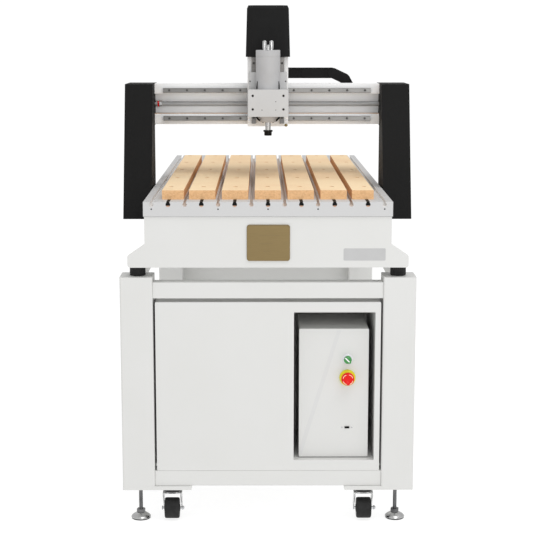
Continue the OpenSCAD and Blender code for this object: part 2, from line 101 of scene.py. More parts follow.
class Finish:
    """A principled material with a few procedural layers."""

    def __init__(self, name, colour, rough, metal=0.0, specular=0.5, coat=0.0):
        self.mat = bpy.data.materials.new(name)
        self.mat.use_nodes = True
        self.tree = self.mat.node_tree
        self.bsdf = self.tree.nodes["Principled BSDF"]
        self.bsdf.inputs["Base Color"].default_value = colour
        self.bsdf.inputs["Roughness"].default_value = rough
        self.bsdf.inputs["Metallic"].default_value = metal
        self.bsdf.inputs["Specular IOR Level"].default_value = specular
        self.bsdf.inputs["Coat Weight"].default_value = coat
        self.bsdf.inputs["Coat Roughness"].default_value = 0.08
        self.place = self.node("ShaderNodeTexCoord").outputs["Object"]
        self.height = None

    def node(self, kind, **values):
        n = self.tree.nodes.new(kind)
        for key, value in values.items():
            setattr(n, key, value)
        return n

    def link(self, out, socket):
        self.tree.links.new(out, socket)

    def noise(self, scale, detail=3.0, stretch=(1, 1, 1), rough=0.55):
        """Noise of that many waves a metre; a small stretch value draws it out along an axis."""
        mapping = self.node("ShaderNodeMapping")
        mapping.inputs["Scale"].default_value = stretch
        self.link(self.place, mapping.inputs["Vector"])
        tex = self.node("ShaderNodeTexNoise")
        tex.inputs["Scale"].default_value = scale
        tex.inputs["Detail"].default_value = detail
        tex.inputs["Roughness"].default_value = rough
        self.link(mapping.outputs["Vector"], tex.inputs["Vector"])
        return tex.outputs["Fac"]

    def ramp(self, fac, *stops):
        """Colours (or greys) at places along fac."""
        ramp = self.node("ShaderNodeValToRGB")
        items = ramp.color_ramp.elements
        while len(items) < len(stops):
            items.new(0.5)
        for item, (where, value) in zip(items, stops):
            item.position = where
            item.color = value if isinstance(value, tuple) else (value, value, value, 1)
        self.link(fac, ramp.inputs["Fac"])
        return ramp.outputs["Color"]

    def mix(self, fac, a, b, how="MIX"):
        """a turned towards b by fac, which may be a number or a socket."""
        mix = self.node("ShaderNodeMix", data_type="RGBA", blend_type=how)
        for value, socket in ((fac, mix.inputs[0]), (a, mix.inputs[6]), (b, mix.inputs[7])):
            if hasattr(value, "is_linked"):
                self.link(value, socket)
            else:
                socket.default_value = value
        return mix.outputs[2]

    def colour(self, out):
        self.link(out, self.bsdf.inputs["Base Color"])

    def roughness(self, fac, low, high):
        """Lets the roughness wander between two values."""
        span = self.node("ShaderNodeMapRange")
        span.inputs["To Min"].default_value = low
        span.inputs["To Max"].default_value = high
        self.link(fac, span.inputs["Value"])
        self.link(span.outputs["Result"], self.bsdf.inputs["Roughness"])

    def bump(self, fac, strength, depth):
        """Adds relief of that depth in metres."""
        bump = self.node("ShaderNodeBump")
        bump.inputs["Strength"].default_value = strength
        bump.inputs["Distance"].default_value = depth
        self.link(fac, bump.inputs["Height"])
        if self.height is not None:
            self.link(self.height, bump.inputs["Normal"])
        self.height = bump.outputs["Normal"]
        self.link(self.height, self.bsdf.inputs["Normal"])


def tinted(finish, base, dark, scale=6.0, amount=0.5):
    """Large soft cloudiness between two close colours."""
    fac = finish.ramp(finish.noise(scale, 4), (0.35, 0.0), (0.7, amount))
    finish.colour(finish.mix(fac, base, dark))


def powder_coat(name, base, dark, rough, grain, relief):
    """Powder coat: a fine orange peel over a paint colour."""
    f = Finish(name, base, rough, specular=0.45)
    tinted(f, base, dark)
    peel = f.noise(grain, 2, rough=0.5)
    f.bump(peel, 0.5, relief)
    f.bump(f.noise(grain * 0.22, 2), 0.25, relief)
    f.roughness(f.noise(9, 3), rough - 0.05, rough + 0.07)
    return f.mat


def textured_black(name, base):
    """Black powder coat with a sandy texture and paler grain tops."""
    f = Finish(name, base, 0.62, specular=0.14)
    grain = f.noise(900, 3, rough=0.7)
    tops = f.ramp(grain, (0.52, 0.0), (0.72, 1.0))
    f.colour(f.mix(tops, base, srgb(44, 43, 42)))
    f.bump(grain, 0.7, 0.00035)
    f.roughness(f.noise(12, 3), 0.55, 0.72)
    return f.mat


def slotted_aluminium():
    """The table's aluminium. The walls of its T-slots get painted light, with a pinkish painted
    reflection of the wood where they run under the slats.
    """
    half_step = 0.025                                  # half the distance between slots
    slot_half = 0.0068
    slot_mid, slot_reach = TOP - 0.0078, 0.0074
    end_face_gap = 0.0006                                 # the painted light stops short of the table's end faces
    slats_half = 0.33
    f = Finish("table_aluminium", grey(200), 0.5, metal=0.08)
    lines = f.noise(700, 3, (1, 0.012, 1))
    base = f.mix(f.ramp(lines, (0.3, 0.0), (0.75, 0.6)), grey(200), grey(192))
    split = f.node("ShaderNodeSeparateXYZ")
    f.link(f.place, split.inputs[0])

    def near(out, middle, reach):
        """1 where a coordinate lies within reach of a place, in metres."""
        test = f.node("ShaderNodeMath", operation="COMPARE")
        f.link(out, test.inputs[0])
        test.inputs[1].default_value = middle
        test.inputs[2].default_value = reach
        return test.outputs[0]
    cell = f.node("ShaderNodeMath", operation="PINGPONG")
    f.link(split.outputs["X"], cell.inputs[0])
    cell.inputs[1].default_value = half_step
    in_slot = near(cell.outputs[0], 0.0, slot_half)
    below = near(split.outputs["Z"], slot_mid, slot_reach)
    inside = near(split.outputs["Y"], 0.0, -FRONT - end_face_gap)
    under_slats = near(split.outputs["X"], 0.0, slats_half)
    # painted light on the slot walls; under the slats it carries a pinkish painted reflection of the
    # wood
    tint = f.mix(under_slats, srgb(240, 238, 236), srgb(232, 222, 214))
    painted_slot_light = in_slot
    for limit in (below, inside):
        product = f.node("ShaderNodeMath", operation="MULTIPLY")
        f.link(painted_slot_light, product.inputs[0])
        f.link(limit, product.inputs[1])
        painted_slot_light = product.outputs[0]
    f.colour(f.mix(painted_slot_light, base, tint))
    f.bump(lines, 0.12, 0.0001)
    f.roughness(f.noise(14, 4), 0.50, 0.62)
    return f.mat


def milled_aluminium(name, base, dark, rough=0.42, metal=0.55):
    """Bead-blasted, clear anodised plate."""
    f = Finish(name, base, rough, metal=metal)
    fine = f.noise(1500, 2)
    tinted(f, base, dark, 11, 0.6)
    f.bump(fine, 0.18, 0.00008)
    f.roughness(f.noise(20, 4), rough - 0.05, rough + 0.08)
    return f.mat


def ground_steel(name, base, dark, along, rough=0.28, metal=0.95):
    """Ground steel with fine scratches along one axis and a few darker smears."""
    f = Finish(name, base, rough, metal=metal)
    stretch = [1.0, 1.0, 1.0]
    stretch[along] = 0.02
    lines = f.noise(1400, 3, tuple(stretch))
    smear = f.ramp(f.noise(22, 5), (0.45, 0.0), (0.75, 0.7))
    f.colour(f.mix(smear, base, dark))
    f.bump(lines, 0.2, 0.00006)
    f.roughness(lines, rough - 0.08, rough + 0.14)
    return f.mat


def plated_steel(name, base, dark, rough=0.18):
    """Bright zinc or nickel plate, a little uneven."""
    f = Finish(name, base, rough, metal=1.0)
    tinted(f, base, dark, 40, 0.8)
    f.roughness(f.noise(90, 4), rough - 0.06, rough + 0.16)
    f.bump(f.noise(260, 2), 0.08, 0.0002)
    return f.mat


def moulded_plastic(name, base, dark, rough=0.4, coat=0.0, grain=1600, specular=0.5):
    """Moulded plastic with a fine erosion texture."""
    f = Finish(name, base, rough, specular=specular, coat=coat)
    tinted(f, base, dark, 30, 0.6)
    f.bump(f.noise(grain, 2), 0.25, 0.00012)
    f.roughness(f.noise(45, 3), rough - 0.06, rough + 0.1)
    return f.mat


def rubber(name, base, dark):
    """Matte rubber with patches of dust."""
    f = Finish(name, base, 0.7, specular=0.3)
    tinted(f, base, dark, 55, 0.9)
    f.bump(f.noise(1100, 3), 0.3, 0.0002)
    f.roughness(f.noise(60, 4), 0.5, 0.82)
    return f.mat


def lip_wood_reflection():
    """Bare aluminium whose brown colour is a painted reflection of the wood below it."""
    f = Finish("lip_wood_reflection", srgb(216, 186, 158), 0.3, metal=0.7)
    tinted(f, srgb(216, 186, 158), srgb(196, 164, 134), 18, 0.8)
    f.roughness(f.noise(60, 3), 0.24, 0.4)
    return f.mat


def fibreboard():
    """Raw MDF: a pale, faintly blotched sanded face; coarse speckle on the sawn sides."""
    face = srgb(249, 223, 183)
    warm = srgb(240, 206, 164)
    side = srgb(240, 194, 144)
    fleck = srgb(216, 168, 120)
    f = Finish("fibreboard", face, 0.72, specular=0.25)
    blotch = f.ramp(f.noise(3.2, 5, rough=0.6), (0.42, 0.0), (0.64, 0.75))
    fibres = f.ramp(f.noise(420, 4, (1, 0.45, 1)), (0.45, 0.0), (0.75, 0.55))
    chips = f.ramp(f.noise(190, 3, rough=0.75), (0.60, 0.0), (0.70, 0.6))
    top = f.mix(fibres, f.mix(blotch, face, warm), warm)
    top = f.mix(chips, top, srgb(252, 234, 204))
    band = f.ramp(f.noise(160, 4, (1, 1, 1.6), 0.7), (0.42, 0.0), (0.66, 0.85))
    edge = f.mix(band, side, fleck)
    edge = f.mix(f.ramp(f.noise(330, 2), (0.62, 0.0), (0.7, 0.5)), edge, srgb(246, 214, 172))
    normal = f.node("ShaderNodeNewGeometry").outputs["True Normal"]
    split = f.node("ShaderNodeSeparateXYZ")
    f.link(normal, split.inputs[0])
    is_top = f.ramp(split.outputs["Z"], (0.5, 0.0), (0.9, 1.0))
    f.colour(f.mix(is_top, edge, top))
    f.bump(f.noise(520, 4, rough=0.7), 0.35, 0.0003)
    f.roughness(f.noise(130, 3), 0.62, 0.85)
    return f.mat


def brass_plate():
    """Satin brass, brushed from side to side."""
    base = srgb(135, 117, 81)
    f = Finish("satin_brass", base, 0.36, metal=0.85)
    lines = f.noise(1500, 3, (0.02, 1, 1))
    f.colour(f.mix(f.ramp(lines, (0.3, 0.0), (0.8, 0.6)), base, srgb(118, 101, 68)))
    f.bump(lines, 0.15, 0.00006)
    f.roughness(f.noise(30, 4), 0.32, 0.46)
    return f.mat


WHITE = powder_coat("white_powder_coat", srgb(214, 214, 212), srgb(211, 211, 208), 0.42, 700,
                    0.0002)
MOTOR = powder_coat("motor_black", grey(26), grey(32), 0.4, 900, 0.0001)
STRIPE = powder_coat("slant_stripe_darker", srgb(210, 210, 209), srgb(208, 208, 206), 0.6, 700, 0.0001)
BLACK = textured_black("black_powder_coat", grey(17))
TABLE = slotted_aluminium()
BEAM = milled_aluminium("beam_aluminium", grey(248), grey(245), 0.62, 0.03)
PLATE = milled_aluminium("plate_aluminium", grey(192), grey(186), metal=0.2)
BACK_PLATE = milled_aluminium("back_plate_aluminium", grey(246), grey(240), metal=0.05)
# the lips' colour is a painted reflection of the wood
LIP = lip_wood_reflection()
RAIL_X = ground_steel("cross_rail_steel", srgb(124, 123, 121), srgb(106, 105, 103), 0)
RAIL_Y = ground_steel("long_rail_steel", srgb(130, 129, 127), srgb(112, 111, 109), 1)
RAIL_Z = ground_steel("head_rail_steel", srgb(109, 107, 105), srgb(94, 92, 90), 2)
BLOCK = ground_steel("block_steel", srgb(176, 177, 178), srgb(150, 151, 152), 0, 0.34)
SCREW = ground_steel("screw_steel", srgb(174, 175, 176), grey(160), 0, 0.6, 0.5)
SPINDLE = ground_steel("spindle_steel", srgb(180, 180, 181), srgb(172, 172, 173), 2, 0.62, 0.12)
SHAFT = ground_steel("shaft_steel", srgb(190, 188, 186), srgb(165, 163, 160), 2, 0.2)
PLATED = plated_steel("zinc_plate", srgb(196, 197, 199), srgb(170, 171, 174))
CHROME = plated_steel("nickel_plate", grey(206), grey(168), 0.14)
OXIDE = plated_steel("black_oxide", srgb(44, 42, 40), srgb(28, 27, 26), 0.34)
BOLT = plated_steel("rail_bolt_steel", srgb(78, 77, 75), srgb(62, 61, 59), 0.4)
STUD = plated_steel("stud_steel", srgb(118, 118, 119), srgb(92, 92, 93), 0.26)
MDF = fibreboard()
BRASS = brass_plate()
RUBBER = rubber("black_rubber", grey(22), grey(34))
TYRE = rubber("tyre_rubber", grey(26), grey(38))
HOOD = moulded_plastic("black_hood_coat", grey(24), grey(20), 0.55, grain=1000, specular=0.12)
BLACK_PLASTIC = moulded_plastic("black_plastic", grey(24), grey(32), 0.5)
CHAIN = moulded_plastic("chain_plastic", srgb(16, 15, 15), srgb(21, 20, 20), 0.5, specular=0.14)
GREY = moulded_plastic("grey_plastic", srgb(226, 226, 230), srgb(214, 214, 219), 0.3, 0.3)
YELLOW = moulded_plastic("yellow_plastic", srgb(228, 220, 8), srgb(216, 206, 4), 0.34, 0.05,
                         specular=0.3)
RED = moulded_plastic("red_plastic", srgb(226, 16, 8), srgb(212, 12, 6), 0.36, 0.05, specular=0.25)
GREEN = moulded_plastic("green_plastic", srgb(44, 142, 58), srgb(30, 118, 46), 0.28, 0.4)
MARK = moulded_plastic("pale_mark", srgb(244, 232, 196), srgb(236, 222, 184), 0.5)
WHITE_MARK = moulded_plastic("white_mark", grey(244), grey(236), 0.5)
LABEL = moulded_plastic("label_grey", grey(187), grey(182), 0.45, grain=600, specular=0.3)
# the plate's lines, and the painted dark reflection along its top
ENGRAVING_AND_REFLECTION = moulded_plastic("engraved_line_and_dark_reflection", srgb(116, 98, 62), srgb(106, 89, 56), 0.5)
# real black on the slot bars and the data socket; painted shadow on the clamp's strips and in the
# table's screw sockets
BLACK_AND_SHADOW = moulded_plastic("black_and_painted_shadow", grey(14), grey(20), 0.6, specular=0.12)
# a painted reflection of the wood, low in the table's slots
SLOT_WOOD_REFLECTION = moulded_plastic("slot_wood_reflection", srgb(196, 160, 136), srgb(170, 132, 108), 0.8, grain=900,
                       specular=0.1)


# ---- mesh helpers ------------------------------------------------------------

def finish_piece(name, bm, material, body, bevel=0.0, segments=2, sharp=32.0):
    """Turns a bmesh into a piece that rides on a body."""
    bmesh.ops.recalc_face_normals(bm, faces=bm.faces)
    mesh = bpy.data.meshes.new(name)
    bm.to_mesh(mesh)
    bm.free()
    mesh.materials.append(material)
    mesh.polygons.foreach_set("use_smooth", [True] * len(mesh.polygons))
    mesh.set_sharp_from_angle(angle=math.radians(sharp))
    obj = bpy.data.objects.new(name, mesh)
    bpy.context.scene.collection.objects.link(obj)
    if bevel:
        soften(obj, bevel, segments)
    if body:
        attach(obj, body)
    return obj


def soften(obj, width, segments=2, angle=30.0):
    """Rounds an object's sharp edges."""
    weld = obj.modifiers.new("weld", "WELD")
    weld.merge_threshold = 0.00002
    bevel = obj.modifiers.new("bevel", "BEVEL")
    bevel.width = width
    bevel.segments = segments
    bevel.limit_method = "ANGLE"
    bevel.angle_limit = math.radians(angle)
    bevel.miter_outer = "MITER_ARC"
    obj.modifiers.new("normals", "WEIGHTED_NORMAL").keep_sharp = False


def on_circle(radius, turns, centre=(0, 0)):
    """Points on a circle at those angles, in radians."""
    return [(centre[0] + radius * math.cos(t), centre[1] + radius * math.sin(t)) for t in turns]


def degrees(first, step, count):
    """Angles that go on in equal steps, given in degrees, as radians."""
    return [math.radians(first + i * step) for i in range(count)]


def full_circle(steps):
    """That many evenly spaced angles, in radians."""
    return [math.tau * i / steps for i in range(steps)]


def add_ring(bm, place, points, height):
    """Adds a loop of vertices at that height above place's XY plane. Millimetres."""
    return [bm.verts.new(place @ Vector((x * MM, y * MM, height * MM))) for x, y in points]


def bridge(bm, rings):
    """Joins each loop of vertices to the next with four-sided faces."""
    for a, b in zip(rings, rings[1:]):
        for i in range(len(a)):
            j = (i + 1) % len(a)
            bm.faces.new((a[i], a[j], b[j], b[i]))


def add_lathe(bm, profile, place, steps=48):
    """Adds (radius, height) points, in millimetres, turned about the Z axis of place."""
    rings = []
    for radius, height in profile:
        points = on_circle(radius, full_circle(steps)) if radius else [(0, 0)]
        rings.append(add_ring(bm, place, points, height))
    for a, b in zip(rings, rings[1:]):
        for i in range(steps):
            j = (i + 1) % steps
            corners = [a[i % len(a)], a[j % len(a)], b[j % len(b)], b[i % len(b)]]
            unique = list(dict.fromkeys(corners))
            if len(unique) > 2:
                bm.faces.new(unique)
    for ring in (rings[0], rings[-1]):
        if len(ring) > 1:
            bm.faces.new(ring)


def add_prism(bm, outline, place, depth):
    """Adds a flat outline in local XY, pushed out by depth along local Z. Millimetres."""
    low = add_ring(bm, place, outline, 0)
    high = add_ring(bm, place, outline, depth)
    bm.faces.new(low[::-1])
    bm.faces.new(high)
    bridge(bm, (low, high))


def add_block(bm, lo, hi):
    """Adds a box between two corners in metres."""
    grown = bmesh.ops.create_cube(bm, size=1.0)["verts"]
    for v in grown:
        v.co = Vector([lo[k] + (v.co[k] + 0.5) * (hi[k] - lo[k]) for k in range(3)])


def rounded(width, height, radius, steps=6):
    """A rounded rectangle about the origin, as outline points."""
    points = []
    for k, (sx, sy) in enumerate(((1, 1), (-1, 1), (-1, -1), (1, -1))):
        turns = [math.pi / 2 * (k + i / steps) for i in range(steps + 1)]
        points += on_circle(radius, turns, (sx * (width / 2 - radius), sy * (height / 2 - radius)))
    return points


def hexagon(across, turn=0.0):
    """A hexagon of that size across its flats."""
    return on_circle(across / 2 / math.cos(math.pi / 6), [turn + k * math.pi / 3 for k in range(6)])


def facing(point, towards):
    """A frame at point whose Z axis points along 'x', '-x', 'y', '-y', 'z' or '-z'."""
    turns = {"z": Matrix.Identity(4), "-z": Matrix.Rotation(math.pi, 4, "X"),
             "x": Matrix.Rotation(math.pi / 2, 4, "Y"), "-x": Matrix.Rotation(-math.pi / 2, 4, "Y"),
             "y": Matrix.Rotation(-math.pi / 2, 4, "X"), "-y": Matrix.Rotation(math.pi / 2, 4, "X")}
    return Matrix.Translation(point) @ turns[towards]


def helix_rod(name, place, material, body, length, radius, lead, groove, per_turn=8):
    """A ball screw or a threaded rod: rounded helical grooves. Local Z is its axis. Millimetres."""
    around = 28
    groove_wide = 0.72                                 # as a share of the lead
    steps = int(length / lead * per_turn)
    bm = bmesh.new()
    rings = []
    for s in range(steps + 1):
        z = length * s / steps
        points = []
        for i, turn in enumerate(full_circle(around)):
            phase = (z / lead - i / around) % 1.0
            dip = max(0.0, 1 - abs(phase - 0.5) / (groove_wide / 2))
            points += on_circle(radius - groove * math.sin(dip * math.pi / 2) ** 0.7, [turn])
        rings.append(add_ring(bm, place, points, z))
    bridge(bm, rings)
    bm.faces.new(rings[0][::-1])
    bm.faces.new(rings[-1])
    return finish_piece(name, bm, material, body, sharp=50)


def add_socket_head(bm, point, towards, size, tall, hex_size):
    """A socket head screw's head, with its hexagonal recess, standing on point."""
    place = facing(point, towards)
    r = size / 2
    add_lathe(bm, [(r, 0), (r, tall - r * 0.12), (r * 0.88, tall), (r * 0.62, tall),
                   (hex_size * 0.52, tall - 0.15), (hex_size * 0.5, tall * 0.45), (0, tall * 0.4)],
              place, 24)


def socket_heads(name, points, towards, size, tall, hex_size, material, body):
    """A piece made of equal socket heads, one on each point."""
    bm = bmesh.new()
    for p in points:
        add_socket_head(bm, p, towards, size, tall, hex_size)
    finish_piece(name, bm, material, body, sharp=40)


# ---- levelling feet ----------------------------------------------------------

def levelling_foot(corner):
    """A plated dome on a rubber pad, with its nut and threaded stud."""
    nut_z, stud_z = 0.0192, 0.019                      # where they start, over the floor
    lo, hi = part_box("foot_" + corner)
    centre = Vector(((lo.x + hi.x) / 2, (lo.y + hi.y) / 2, 0))
    body = "levelling_foot_" + corner
    bm = bmesh.new()
    add_lathe(bm, [(0, 3.4), (28, 3.4), (30.6, 4.2), (31, 5.4), (30.6, 7), (28, 10), (24, 13),
                   (19, 16), (15.5, 18), (13.5, 19.2), (10.5, 19.6), (10.5, 18.8), (0, 18.8)],
              facing(centre, "z"), 64)
    pad = finish_piece("foot_dome_" + corner, bm, CHROME, body)
    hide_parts("foot_" + corner)
    bm = bmesh.new()
    add_lathe(bm, [(0, 0), (28.6, 0), (29.6, 0.8), (29.6, 3.4), (0, 3.4)], facing(centre, "z"), 64)
    finish_piece("foot_pad_" + corner, bm, RUBBER, body)
    bm = bmesh.new()
    add_prism(bm, hexagon(24, 0.3), facing(centre + Vector((0, 0, nut_z)), "z"), 11.4)
    finish_piece("foot_nut_" + corner, bm, STUD, body, bevel=0.0012)
    helix_rod("foot_stud_" + corner, facing(centre + Vector((0, 0, stud_z)), "z"), STUD, body,
              length=181, radius=6.0, lead=1.75, groove=0.4, per_turn=6)


for corner in CORNERS:
    levelling_foot(corner)


# ---- casters -----------------------------------------------------------------

def caster(corner):
    """A wheel with its tyre and hubs, and the pressed fork that holds it."""
    trail = 0.022                                      # from the swivel's axis to the axle
    lo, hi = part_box("caster_wheel_" + corner)
    hub = (lo + hi) / 2
    way = -1 if corner[0] == "f" else 1               # the wheel trails this way along Y
    wheel_body = "caster_roller_" + corner
    swivel_body = "caster_swivel_" + corner
    axle = facing(hub, "x")
    bm = bmesh.new()
    half_tyre = [(11.5, 21.2), (20, 22.2), (25, 22.8), (28.5, 23), (31.2, 21.6), (32.4, 18),
                 (32.5, 6)]
    add_lathe(bm, [(r, -x) for r, x in half_tyre] + half_tyre[::-1], axle, 72)
    tyre = finish_piece("caster_tyre_" + corner, bm, TYRE, wheel_body, sharp=50)
    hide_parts("caster_wheel_" + corner)
    hub_profile = [(4.2, 25), (9.6, 25), (11, 24.6), (11.4, 21), (23.5, 22.9), (24.5, 22.0),
                   (24.5, 20), (4.2, 20)]
    bm = bmesh.new()
    for side in (-1, 1):
        add_lathe(bm, [(r, side * x) for r, x in hub_profile], axle, 48)
    finish_piece("caster_hub_" + corner, bm, BLACK_PLASTIC, wheel_body, sharp=40)

    king = hub + Vector((0, -way * trail, 0))          # the swivel's axis
    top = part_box("caster_heads")[0].z - 0.0005         # the fork hangs under this
    drop = (top - hub.z) / MM
    bm = bmesh.new()
    cheek = [(-21, -1.6), (19, -1.6), (21.5, -5), (20, -16), (-11, -drop - 1)]
    turns = [-0.35 - k * (math.pi - 0.5) / 8 for k in range(9)]
    cheek += on_circle(11.5, turns, (-trail / MM, -drop))
    cheek += [(-27, -22), (-23.5, -5)]
    for x in (-30, 25.6):
        place = Matrix.Translation(Vector((king.x + x * MM, king.y, top))) @ Matrix(
            ((0, 0, 1, 0), (-way, 0, 0, 0), (0, 1, 0, 0), (0, 0, 0, 1)))
        add_prism(bm, [(-y, z) for y, z in cheek], place, 4.4)
    fork = finish_piece("caster_fork_sides_" + corner, bm, CHROME, swivel_body, bevel=0.0014)
    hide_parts("caster_fork_" + corner)
    bm = bmesh.new()
    add_prism(bm, rounded(60, 42, 9),
              facing(Vector((king.x, king.y + way * 0.001, top - 0.0056)), "z"), 4)
    add_lathe(bm, [(0, -6), (17, -6), (22.5, -5.2), (25.4, -3.4), (26.2, -1.2), (25.6, 0.1),
                   (0, 0.1)], facing(Vector((king.x, king.y, top)), "z"), 56)
    finish_piece("caster_crown_" + corner, bm, CHROME, swivel_body, bevel=0.001)
    bm = bmesh.new()
    add_lathe(bm, [(0, -33), (4.5, -32.8), (6.6, -31.6), (7, -30), (3.9, -30), (3.9, 37.5),
                   (0, 38)], axle, 36)
    add_prism(bm, hexagon(12.6, 0.2), facing(hub + Vector((0.030, 0, 0)), "x"), 5.0)
    finish_piece("caster_axle_" + corner, bm, PLATED, swivel_body, bevel=0.0004)


for corner in CORNERS:
    caster(corner)


# ---- controls on the box -----------------------------------------------------

BUTTON_X = sum(v.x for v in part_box("estop_button")) / 2
BOX_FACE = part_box("control_box")[0].y


def control_point(node):
    """Where a control's axis meets the front of the box."""
    lo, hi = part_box(node)
    return Vector((BUTTON_X, BOX_FACE, (lo.z + hi.z) / 2))


def emergency_stop():
    """A yellow ring and a red mushroom with four raised arrows."""
    step = 0.105                                       # radians between an arrow's points
    place = facing(control_point("estop_collar"), "-y")
    bm = bmesh.new()
    add_lathe(bm, [(10.2, 0), (25, 0), (25, 1), (24.6, 7.6), (24, 9.2), (22.6, 10), (10.2, 10)],
              place, 72)
    collar = finish_piece("estop_ring", bm, YELLOW, "stand_and_base")
    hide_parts("estop_collar")
    bm = bmesh.new()
    add_lathe(bm, [(10, -20), (10, 16.1), (16.6, 16.9), (19.2, 18.1), (20, 19.9), (20, 23.9),
                   (19.2, 26.9), (17.4, 29.5), (14.2, 31.1), (12.4, 31.4), (11.6, 30.7), (0, 30.1)],
              place, 72)
    button = finish_piece("estop_mushroom", bm, RED, "estop", sharp=45)
    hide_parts("estop_button")
    bm = bmesh.new()
    for k in range(4):
        start = math.tau * k / 4 + 0.35
        turns = [start + i * step for i in range(9)]
        tip = start + 9 * step + 0.12
        arrow = on_circle(16.4, turns) + on_circle(15.2, [tip]) + on_circle(13.8, turns[::-1])
        add_prism(bm, arrow, place @ Matrix.Translation(Vector((0, 0, 29.85 * MM))), 1.0)
    finish_piece("estop_arrows", bm, MARK, "estop")


def selector():
    """A green knob in a grey bezel, its grip turned half a right angle."""
    place = facing(control_point("switch_bezel"), "-y")
    bm = bmesh.new()
    add_lathe(bm, [(6.2, 0), (16.5, 0), (16.5, 2.2), (15.2, 4.2), (13.6, 5), (6.2, 5)], place, 64)
    bezel = finish_piece("selector_bezel", bm, GREY, "stand_and_base")
    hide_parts("switch_bezel")
    bm = bmesh.new()
    add_lathe(bm, [(6, -16), (6, 5.6), (11.6, 5.6), (12, 6.4), (12, 15.2), (11.2, 17), (9.6, 17.8),
                   (0, 17.8)], place, 56)
    cap = finish_piece("selector_cap", bm, GREEN, "selector")
    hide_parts("selector_knob")
    # the grip is a bar across the cap, one end standing past its rim
    turn = Matrix.Rotation(math.radians(-45), 4, "Z")
    bm = bmesh.new()
    add_prism(bm, rounded(24.6, 7, 2.4),
              place @ turn @ Matrix.Translation(Vector((0, 0, 14 * MM))), 8.4)
    finish_piece("selector_grip", bm, GREEN, "selector", bevel=0.0008)
    bm = bmesh.new()
    add_prism(bm, rounded(18.5, 3.6, 1.4),
              place @ turn @ Matrix.Translation(Vector((-2.6 * MM, 0, 22.2 * MM))), 0.45)
    finish_piece("selector_line", bm, WHITE_MARK, "selector")


def data_socket():
    """A small black socket between two screws."""
    centre = control_point("data_port")
    place = facing(centre, "-y")
    bm = bmesh.new()
    add_prism(bm, rounded(15, 6, 1), place, 2.5)
    port = finish_piece("data_socket", bm, BLACK_AND_SHADOW, "stand_and_base", bevel=0.0004)
    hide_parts("data_port")
    bm = bmesh.new()
    for x in (-15.4, 15.4):
        add_socket_head(bm, centre + Vector((x * MM, 0, 0)), "-y", 4.2, 1.2, 1.6)
    finish_piece("data_socket_screws", bm, PLATED, "stand_and_base")


emergency_stop()
selector()
data_socket()


# ---- linear rails, blocks and screws -----------------------------------------

def rail_bolts():
    """The dark socket heads down in the rails' counterbores."""
    first, step = 0.020, 0.060                         # along the rail
    half_rail = 0.0075
    sunk = 0.0044                                      # from the rail's face
    lo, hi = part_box("x_rails")
    xs = [lo.x + first + k * step for k in range(12)]
    zs = (lo.z + half_rail, hi.z - half_rail)
    points = [Vector((x, lo.y + sunk, z)) for x in xs for z in zs]
    socket_heads("cross_rail_bolts", points, "-y", 7.2, 3.8, 2.4, BOLT, "gantry")
    lo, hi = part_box("z_rails")
    zs = [lo.z + first + k * step for k in range(5)]
    xs = (lo.x + half_rail, hi.x - half_rail)
    points = [Vector((x, lo.y + sunk, z)) for x in xs for z in zs]
    socket_heads("head_rail_bolts", points, "-y", 7.2, 3.8, 2.4, BOLT, "x_carriage")


def cross_block_ends():
    """Black end caps on the bearing blocks of the cross rails."""
    block_long, block_deep = 0.061, 0.0125
    thick = 0.0038
    proud = 0.0002                                     # past the block on every side
    bm = bmesh.new()
    for lo, hi in islands("x_blocks"):
        if abs(hi.x - lo.x - block_long) > 0.0015:
            continue
        for x in (lo.x - proud, hi.x + proud - thick):
            add_block(bm, (x, lo.y, lo.z - proud),
                      (x + thick, lo.y + block_deep, hi.z + proud))
    finish_piece("cross_block_ends", bm, BLACK_PLASTIC, "x_carriage", bevel=0.0003)


def islands(node):
    """The boxes round a CAD node's separate solids."""
    bm = bmesh.new()
    bm.from_mesh(NODES[node].data)
    bmesh.ops.remove_doubles(bm, verts=bm.verts, dist=0.00002)
    seen = set()
    found = []
    for start in bm.verts:
        if start in seen:
            continue
        stack, group = [start], []
        seen.add(start)
        while stack:
            v = stack.pop()
            group.append(v.co.copy())
            for e in v.link_edges:
                other = e.other_vert(v)
                if other not in seen:
                    seen.add(other)
                    stack.append(other)
        lo = Vector([min(c[k] for c in group) for k in range(3)])
        hi = Vector([max(c[k] for c in group) for k in range(3)])
        found.append((lo, hi))
    bm.free()
    return found


def cross_screw():
    """The cross ball screw, and the coupling at its left end: two hubs and a red star."""
    lo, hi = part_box("x_screw")

    def on_axis(x):
        return facing(Vector((x * MM, (lo.y + hi.y) / 2, (lo.z + hi.z) / 2)), "x")
    start, end = -355, 379.4
    helix_rod("cross_ball_screw", on_axis(start), SCREW, "cross_screw",
              length=end - start, radius=8, lead=10, groove=0.14)
    bm = bmesh.new()
    for a, b in ((-379.8, -371.2), (-365.8, -355.2)):
        long = b - a
        add_lathe(bm, [(0, 0), (9.6, 0), (10.4, 0.8), (10.4, long - 0.8), (9.6, long), (0, long)],
                  on_axis(a), 40)
    hubs = finish_piece("coupling_hubs", bm, CHROME, "cross_screw")
    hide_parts("x_screw")
    star = []
    for angle in full_circle(6):
        star += on_circle(10.3, [angle - 0.30, angle + 0.30])
        star += on_circle(6.5, [angle + 0.42, angle + 0.62])
    bm = bmesh.new()
    add_prism(bm, star, on_axis(-371.1), 5.2)
    spider = finish_piece("coupling_star", bm, RED, "cross_screw", bevel=0.0005)
    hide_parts("coupling_spider")


def head_screw():
    """The ball screw that lifts the carriage."""
    lo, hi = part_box("z_screw")
    place = facing(Vector(((lo.x + hi.x) / 2, (lo.y + hi.y) / 2, lo.z)), "z")
    screw = helix_rod("head_ball_screw", place, SCREW, "head_screw",
                      length=(hi.z - lo.z) / MM, radius=5, lead=5, groove=0.5)
    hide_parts("z_screw")


rail_bolts()
cross_block_ends()
cross_screw()
head_screw()


# ---- spindle -----------------------------------------------------------------

